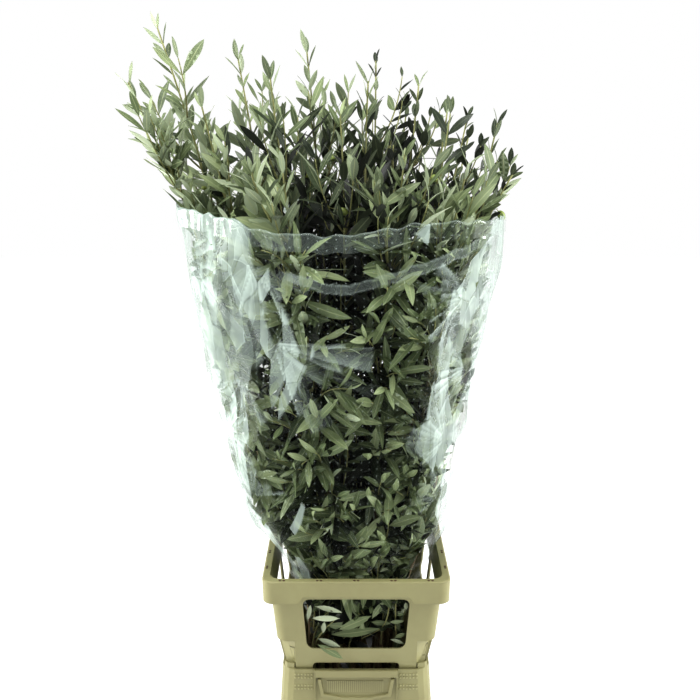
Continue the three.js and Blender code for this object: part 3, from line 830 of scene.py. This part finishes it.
def film_point(turn, z, out):
    """A point on the film at a height before its upper edge is drawn up."""
    folds = 4 * np.sin(5 * turn + z / 90) + 3 * np.sin(9 * turn - z / 55)
    radius = film_reach(turn, z) + folds * smooth(z, RIM_TOP, 460) + out
    wrinkles = 1.5 * np.sin(31 * turn) + 1.2 * np.sin(47 * turn + 1)
    rise = np.interp(np.degrees(turn), EDGE_TURNS, EDGE_HEIGHTS) + wrinkles - SLEEVE_TOP
    share = (z - SLEEVE_FOOT) / (SLEEVE_TOP - SLEEVE_FOOT)
    x, y = lean_at(z) + radius * np.cos(turn), radius * np.sin(turn)
    return np.stack([x, y, z + share**3 * rise], axis=-1)


# Sides of the film, milky and with painted sheen: the turns in degrees where the left and right veil ends,
# by height.
LEFT_HAZE_AND_SHEEN_HEIGHTS = (435, 485, 559, 634, 679, 744, 813, 885)
LEFT_HAZE_AND_SHEEN = (-118, -124, -121, -114, -108, -104, -110, -110)
RIGHT_HAZE_AND_SHEEN_HEIGHTS = (400, 470, 535, 585, 665, 740, 813, 885)
RIGHT_HAZE_AND_SHEEN = (-50, -48, -52, -63, -58, -57, -54, -33)

# A pleat that sags across the front: turns in degrees and heights.
SASH_TURNS = (-112, -90, -66, -45, -22)
SASH_HEIGHTS = (852, 831, 846, 872, 904)

# Fans of straight folds painted as highlights on the crumpled film: turn and height of the point they
# spread from, the first and last direction in degrees, and how far they run.
PLEAT_FANS = [
    (-113, 752, -72, 2, 165), (-152, 838, -110, 40, 105), (-126, 690, -160, -50, 84),
    (-142, 590, -60, 66, 86), (-128, 500, 15, 150, 70), (-168, 720, -80, 80, 90),
    (-118, 862, -140, -20, 96), (-46, 806, 130, 236, 96), (-38, 694, 138, 246, 100),
    (-50, 592, 96, 226, 84), (-46, 500, 100, 205, 66), (-20, 760, 100, 250, 90),
    (10, 640, 60, 240, 110), (40, 800, 180, 320, 120), (75, 690, -60, 90, 120),
    (-190, 610, 80, 260, 100), (-215, 780, 150, 330, 120), (-245, 660, -20, 120, 120),
    (-262, 820, 200, 340, 110), (-225, 500, 20, 160, 90),
]


def pleat_highlights(turn, z, rng):
    """Painted highlights of the fans of folds on the film; a pleat is bright at one crease and fades to the
    next.
    """
    veil = np.zeros_like(turn)
    for start, height, first, last, reach in PLEAT_FANS:
        across = (turn - math.radians(start) + math.pi) % (2 * math.pi) - math.pi
        across *= film_reach(turn, z)
        up = z - height
        angle = np.degrees(np.arctan2(up, across))
        angle = first + (angle - first) % 360
        far = np.hypot(across, up)
        edges = np.cumsum(np.concatenate([[first], rng.uniform(3, 15, 60)]))
        edges = np.append(edges[edges < last], last)
        pleat = np.clip(np.searchsorted(edges, angle) - 1, 0, len(edges) - 2)
        width = (edges[1:] - edges[:-1])[pleat]
        share = np.clip((angle - edges[pleat]) / width, 0, 1)
        bright = rng.uniform(0.1, 0.65, len(edges))[pleat]
        length = reach * rng.uniform(0.45, 1.0, len(edges))[pleat]
        fade = (1 - share) ** 0.8 * bright + 0.25 * smooth(share, 0.88, 1.0)
        run = smooth(far, length + 3, length - 3) * smooth(far, 2, 14)
        veil = np.maximum(veil, fade * (angle < last) * run)
    return veil


def make_sleeve():
    rng = np.random.default_rng(FILM_SEED)
    turn = np.linspace(-1.5 * math.pi, 0.5 * math.pi, FILM_COLUMNS, endpoint=False)
    z = np.linspace(SLEEVE_FOOT, SLEEVE_TOP, FILM_ROWS)
    z = np.concatenate([z, SLEEVE_TOP - HEM_DEPTH * np.linspace(0, 1, HEM_ROWS + 1)[1:]])
    turn, z = np.meshgrid(turn, z)
    degrees = np.degrees(turn)
    broad = crumple(turn, z, rng, 5, 4, 10)
    fine = crumple(turn, z, rng, 6, 13, 32)
    # The sides get a white veil, partly milky film and partly painted sheen where the film turns away; the
    # front stays clear.
    left_end = np.interp(z, LEFT_HAZE_AND_SHEEN_HEIGHTS, LEFT_HAZE_AND_SHEEN)
    right_end = np.interp(z, RIGHT_HAZE_AND_SHEEN_HEIGHTS, RIGHT_HAZE_AND_SHEEN)
    left_side = smooth(degrees, left_end + 12, left_end - 14)
    sides = np.maximum(left_side, smooth(degrees, right_end - 12, right_end + 14))
    sides *= 1 - 0.6 * smooth(degrees, 10, 50)
    loose = smooth(z, 365, 440)
    pleat = np.abs(z - np.interp(degrees, SASH_TURNS, SASH_HEIGHTS))
    pleat = smooth(pleat, 8, 4) * smooth(degrees, -112, -98) * smooth(degrees, -20, -30)
    folded = np.zeros_like(turn)
    folded[FILM_ROWS:] = 1
    out = ((broad - 0.8) * (6 + 16 * sides) + (fine - 0.55) * (2 + 6 * sides)) * loose
    out += 2.5 * pleat
    out += folded * (2.2 + 1.2 * np.sin(23 * turn) + 0.8 * np.sin(51 * turn))
    points = film_point(turn, z, out)
    # Milkiness and painted sheen of the sides, less on the turned hem.
    haze_and_sheen = sides * np.interp(z, SIDE_HAZE_AND_SHEEN_HEIGHTS, SIDE_HAZE_AND_SHEEN) * (1 - 0.8 * folded)
    # The fold attribute is painted highlight: a whiter band with bright edges along the sagging pleat, the
    # fans of folds, the hem's milkiness with painted highlight by turn, and a bright line along the top
    # edge.
    fold = 0.16 * pleat + 0.24 * smooth(np.abs(pleat - 0.5), 0.5, 0.1)
    fold = fold + 0.8 * pleat_highlights(turn, z, rng) * (1 - folded)
    hem = np.interp(degrees, HEM_TURNS, HEM_HAZE_AND_HIGHLIGHT)
    fold = np.where(folded > 0, hem, fold) + 0.25 * smooth(z, SLEEVE_TOP - 3, SLEEVE_TOP)
    build = Build()
    uv = np.stack(np.meshgrid(np.linspace(0, DOTS_ROUND, FILM_COLUMNS + 1), z[:, 0] / DOT_PITCH), axis=-1)
    build.grids(points[None], uv, haze_and_sheen[None], 0, True)
    piece = build.make("film_sleeve", (film_material(),), "haze_and_sheen")
    folds = piece.data.attributes.new("fold", "FLOAT", "POINT")
    folds.data.foreach_set("value", fold.ravel().astype(np.float32))
    return piece


film = make_sleeve()
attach(film, "root")
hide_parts("sleeve")


# Bucket and collar

CORNER_RADIUS, CORNER_SIDES, WALL, SKIRT = 18, 8, 3, 38
COLLAR_FOOT, FRONT_HALF, FRONT_HEAD = RIM_TOP - 208, 98, RIM_TOP - 36
RAIL_HEAD, RAIL_FOOT, CORNER_FOOT = RIM_TOP - 128, RIM_TOP - 157, RIM_TOP - 113
TONGUE_BEND = RIM_TOP - 165


def solid(name, verts, faces):
    mesh = bpy.data.meshes.new(name)
    mesh.from_pydata([(x * MM, y * MM, z * MM) for x, y, z in verts], [], faces)
    mesh.update()
    return add_object(name, mesh)


def stack(name, solids):
    """Closed solids from rings of points, which run anticlockwise seen from the last ring's side."""
    verts, faces = [], []
    for rings in solids:
        start, sides = len(verts), len(rings[0])
        last = start + (len(rings) - 1) * sides
        for ring in rings:
            verts += ring
        for row in range(start, last, sides):
            for i in range(sides):
                a, b = row + i, row + (i + 1) % sides
                faces.append((a, b, b + sides, a + sides))
        faces.append(tuple(range(start + sides - 1, start - 1, -1)))
        faces.append(tuple(range(last, last + sides)))
    return solid(name, verts, faces)


def rounded_ring(name, profile):
    """A closed profile of (half width, height) swept round a rounded rectangle that is deeper than wide."""
    verts, faces, count = [], [], len(profile)
    for quarter in range(4):
        sx, sy = 1 if quarter in (0, 3) else -1, 1 if quarter in (0, 1) else -1
        for step in range(CORNER_SIDES + 1):
            turn = (quarter + step / CORNER_SIDES) * math.pi / 2
            for half, z in profile:
                inset = half - CORNER_RADIUS
                x = math.cos(turn) * CORNER_RADIUS + sx * inset
                y = math.sin(turn) * CORNER_RADIUS + sy * (inset + EXTRA_DEPTH)
                verts.append((x, y, z))
    for j in range(0, len(verts), count):
        k = (j + count) % len(verts)
        for i in range(count):
            n = (i + 1) % count
            faces.append((j + i, k + i, k + n, j + n))
    return solid(name, verts, faces)


def prism(outline, reach, place=(0, 0), turned=False):
    """An outline of (x, z) pushed along Y both ways from a place, or along X when turned."""
    rings = [[(x + place[0], place[1] + side * reach, z) for x, z in outline] for side in (1, -1)]
    if turned:
        rings = [[(-y, x, z) for x, y, z in ring] for ring in rings]
    return stack("cutter", [rings])


def rounded_outline(half_top, half_foot, top, foot, radius):
    """A trapezium with rounded corners, in X and Z."""
    ends = ((-half_foot, foot), (half_foot, foot), (half_top, top), (-half_top, top))
    corners, points, steps = [Vector(end) for end in ends], [], 6
    for i, corner in enumerate(corners):
        before = corner + (corners[i - 1] - corner).normalized() * radius
        after = corner + (corners[(i + 1) % 4] - corner).normalized() * radius
        for step in range(steps + 1):
            t = step / steps
            points.append(tuple(before * (1 - t) ** 2 + corner * 2 * t * (1 - t) + after * t * t))
    return points


def cut(body, cutters):
    """Takes the cutters out of a body and removes them."""
    group = bpy.data.collections.new("cutters")
    for cutter in cutters:
        group.objects.link(cutter)
    tool = body.modifiers.new("cut", "BOOLEAN")
    tool.operation, tool.solver = "DIFFERENCE", "EXACT"
    tool.operand_type, tool.collection = "COLLECTION", group
    graph = bpy.context.evaluated_depsgraph_get()
    mesh = bpy.data.meshes.new_from_object(body.evaluated_get(graph))
    body.modifiers.clear()
    body.data = mesh
    for cutter in cutters:
        bpy.data.objects.remove(cutter)
    bpy.data.collections.remove(group)


def collar_cutters():
    """Windows, slots under the rail, skirt notches and corner blocks to take out of the collar."""
    front, slot_foot = -EXTRA_DEPTH - 120, COLLAR_FOOT - 30
    openings = [
        ((85, 78.4, FRONT_HEAD, RAIL_HEAD, 13), 40, (0, front)),
        ((70, 69, RAIL_FOOT, slot_foot, 8), 40, (0, front)),
    ]
    corners = []
    for side in (-1, 1):
        openings += [
            ((38, 34, FRONT_HEAD, RAIL_HEAD, 13), 40, (side * 44, -front)),
            ((32, 31, RAIL_FOOT, slot_foot, 8), 40, (side * 38, -front)),
            ((58, 54, FRONT_HEAD - 11, RAIL_HEAD, 13), RIM_DEPTH, (side * 66, 0), True),
            ((50, 49, RAIL_FOOT, slot_foot, 8), RIM_DEPTH, (side * 57, 0), True),
            ((82, 95, RIM_TOP - 26.5, RIM_TOP - SKIRT - 6, 2), 11, (0, side * (RIM_DEPTH / 2 + 7))),
        ]
        near, far, low = side * FRONT_HALF, side * (FRONT_HALF + 80), CORNER_FOOT - 100
        block = [(near, low), (far, low), (far, CORNER_FOOT), (near, CORNER_FOOT)][::side]
        corners += [prism(block, 40, (0, end * (FRONT_HALF + EXTRA_DEPTH + 40))) for end in (-1, 1)]
    return corners + [prism(rounded_outline(*outline), *where) for outline, *where in openings]


CORNERS = [(sx, sy) for sx in (-1, 1) for sy in (-1, 1)]


def corner_walls():
    """Set-back walls that close the collar's cut corners, through lines of (outer half width, height)."""
    solids = []
    for sx, sy in CORNERS:
        rings = []
        for half, z in ((127, CORNER_FOOT + 2), (115.2, TONGUE_BEND), (111.8, COLLAR_FOOT)):
            outer = [(FRONT_HALF - 1, half + EXTRA_DEPTH - 1), (half - 12, half + EXTRA_DEPTH - 12)]
            outer.append((half - 1, FRONT_HALF + EXTRA_DEPTH - 1))
            inner = [(x - 1.6, y - 1.6) for x, y in outer]
            ring = [(sx * x, sy * y, z) for x, y in outer + inner[::-1]]
            rings.append(ring[::sx * sy])
        solids.append(rings)
    return stack("collar_corner_walls", solids)


SHARP_ANGLE = math.radians(32)


def coat(piece, material):
    piece.data.materials.clear()
    piece.data.materials.append(material)
    piece.data.shade_smooth()
    piece.data.set_sharp_from_angle(angle=SHARP_ANGLE)


def dress(piece, material):
    coat(piece, material)
    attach(piece, "root")


def blocks(name, places):
    """Small boxes given as centre and full size."""
    solids = []
    for (cx, cy, cz), (w, d, h) in places:
        base = [(cx + x * w / 2, cy + y * d / 2) for x, y in ((-1, -1), (1, -1), (1, 1), (-1, 1))]
        solids.append([[(x, y, cz + side * h / 2) for x, y in base] for side in (-1, 1)])
    return stack(name, solids)


def studs(name, places, radius, axis, height):
    """Low round studs standing on a face, given as centres on it."""
    along = Vector(axis)
    first = along.orthogonal().normalized()
    second = along.cross(first)
    turns = [i * math.pi / 5 for i in range(10)]
    circle = [(first * math.cos(turn) + second * math.sin(turn)) * radius for turn in turns]
    levels = ((-1.0, 1.0), (0.6 * height, 1.0), (height, 0.6))
    return stack(name, [
        [[tuple(Vector(place) + along * level + arm * size) for arm in circle] for level, size in levels]
        for place in places
    ])


def bucket_face(z):
    """How far out the bucket's front stands at a height."""
    return -(EXTRA_DEPTH + 120 + (BUCKET_TOP - z) * 12 / (BUCKET_TOP - 8))


plastic = plastic_material("cream_plastic", srgb(150, 147, 106), srgb(142, 138, 99))
half, skirt_foot = RIM_WIDTH / 2, RIM_TOP - SKIRT
collar = rounded_ring("windowed_collar", [
    (half - 2, RIM_TOP), (half, RIM_TOP - 2), (half - 1, skirt_foot), (half - WALL - 1, skirt_foot),
    (half - WALL, RIM_TOP - 4), (half - 9, RIM_TOP - 4), (half - 13, skirt_foot), (127.5, CORNER_FOOT),
    (115.5, TONGUE_BEND), (112, COLLAR_FOOT), (109, COLLAR_FOOT), (112.5, TONGUE_BEND),
    (124.5, CORNER_FOOT), (half - 13 - WALL, skirt_foot), (half - 12, RIM_TOP),
])
cut(collar, collar_cutters())
dress(collar, plastic)
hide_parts("collar", "collar_front")
dress(corner_walls(), plastic)

coat(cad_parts["bucket"], plastic)

# Mouldings of the bucket: lip, ribs behind the label clip, grip studs, corner plates and ears.
# The ribs and grip studs take a lighter copy of the cream plastic: painted highlight.
lit_moulding_plastic = plastic_material("cream_mouldings_lit", srgb(168, 165, 124), srgb(160, 156, 116), 0.0)
lip = [((0, bucket_face(BUCKET_TOP - 6) - 1.0, BUCKET_TOP - 6), (136, 6, 12))]
lip += [((side * 66.5, bucket_face(166) - 0.6, 160), (2.2, 4, 64)) for side in (-1, 1)]
dress(blocks("bucket_lip", lip), plastic)
ribs = [((x, bucket_face(168) - 0.2, 168), (1.3, 1.4, 20)) for x in np.arange(-46, 46.1, 3.2)]
dress(blocks("bucket_ribs", ribs), lit_moulding_plastic)
grip = [
    (side * (72 + 5.3 * i), bucket_face(z), z)
    for side in (-1, 1) for i in range(6) for z in (188.5, 183, 169.5, 164)
]
dress(studs("bucket_grip_studs", grip, 1.6, (0, -1, 0), 1.0), lit_moulding_plastic)
CORNER_PLATE = [(97, 167), (105, 166), (111.5, 160.5), (115, 154.5), (116.5, 147), (97, 147)]
CORNER_EAR = [(100, 166), (112, 162.5), (116, 157), (113, 155.5), (109.5, 160), (99, 163.5)]
for sx, sy in CORNERS:
    for outline, foot, head in ((CORNER_PLATE, -5, -1), (CORNER_EAR, -2, 9)):
        rings = [[(sx * x, sy * y, BUCKET_TOP + z) for x, y in outline[::-sx * sy]] for z in (foot, head)]
        dress(stack("bucket_corner", [rings]), plastic)

peg_brown = plastic_material("peg_brown", srgb(84, 56, 34), srgb(66, 44, 28), 0.0)
across = [x + d for x in (-116, -58, 0, 58, 116) for d in (-3, 3)]
down = [y + d for y in (-145, -87, -29, 29, 87, 145) for d in (-3, 3)]
pegs = [(x, side * (RIM_DEPTH / 2 - 5), RIM_TOP) for x in across for side in (-1, 1)]
pegs += [(side * (RIM_WIDTH / 2 - 5), y, RIM_TOP) for y in down for side in (-1, 1)]
dress(studs("rim_pegs", pegs, 2.0, (0, 0, 1), 0.6), peg_brown)


# Stage, light and camera

def area(name, place, aim, size, power):
    light = bpy.data.lights.new(name, "AREA")
    light.shape = "RECTANGLE"
    light.size, light.size_y = size
    light.energy = power
    obj = add_object(name, light)
    obj.location = place
    obj.rotation_euler = (Vector(aim) - Vector(place)).to_track_quat("-Z", "Y").to_euler()


FLOOR_HALF = 6000
floor_corners = [(x * FLOOR_HALF, y * FLOOR_HALF, 0) for x, y in ((-1, -1), (1, -1), (1, 1), (-1, 1))]
floor = solid("floor", floor_corners, [(0, 1, 2, 3)])
floor.data.materials.append(material_nodes("pale_floor").principled({
    "Base Color": (0.4, 0.4, 0.4, 1), "Roughness": 0.9,
    "Emission Color": (1, 1, 1, 1), "Emission Strength": 0.9,
}))

world = bpy.data.worlds.new("studio")
scene.world = world
sky = Nodes(world)
height = sky.add("SeparateXYZ", {0: sky.add("TexCoord").outputs["Generated"]}).outputs[2]
backdrop = sky.tree.nodes["Background"]
backdrop.inputs[0].default_value = (1, 1, 1, 1)
sky.tree.links.new(sky.span(height, 0.16, 0.5, 1.0, 0.2), backdrop.inputs[1])
# Soft lights: name, place, the point each faces, size in metres and power in watts.
LIGHTS = [
    ("left", (-2.1, -0.35, 1.5), (0, 0, 0.7), (1.4, 2.0), 74),
    ("right", (2.1, -0.35, 1.5), (0, 0, 0.7), (1.4, 2.0), 66),
    ("low_left", (-1.5, 0.1, 0.22), (0, 0, 0.22), (1.0, 0.4), 5),
    ("low_right", (1.5, 0.1, 0.22), (0, 0, 0.22), (1.0, 0.4), 5),
    ("top", (-0.2, -0.5, 2.9), (0, 0, 0.8), (1.2, 1.2), 46),
]
for light in LIGHTS:
    area(*light)

SENSOR_WIDTH, LENS_SHARE, PITCH = 36, 990 / 700, math.radians(13.3)
camera_data = bpy.data.cameras.new("camera")
camera_data.sensor_width = SENSOR_WIDTH
camera_data.lens = LENS_SHARE * SENSOR_WIDTH
camera = add_object("camera", camera_data)
camera.location = (-0.0098, -1.612, 1.070)
camera.rotation_euler = (math.pi / 2 - PITCH, 0, 0)
scene.camera = camera
scene.view_settings.view_transform = "Standard"
scene.view_settings.gamma = 0.82
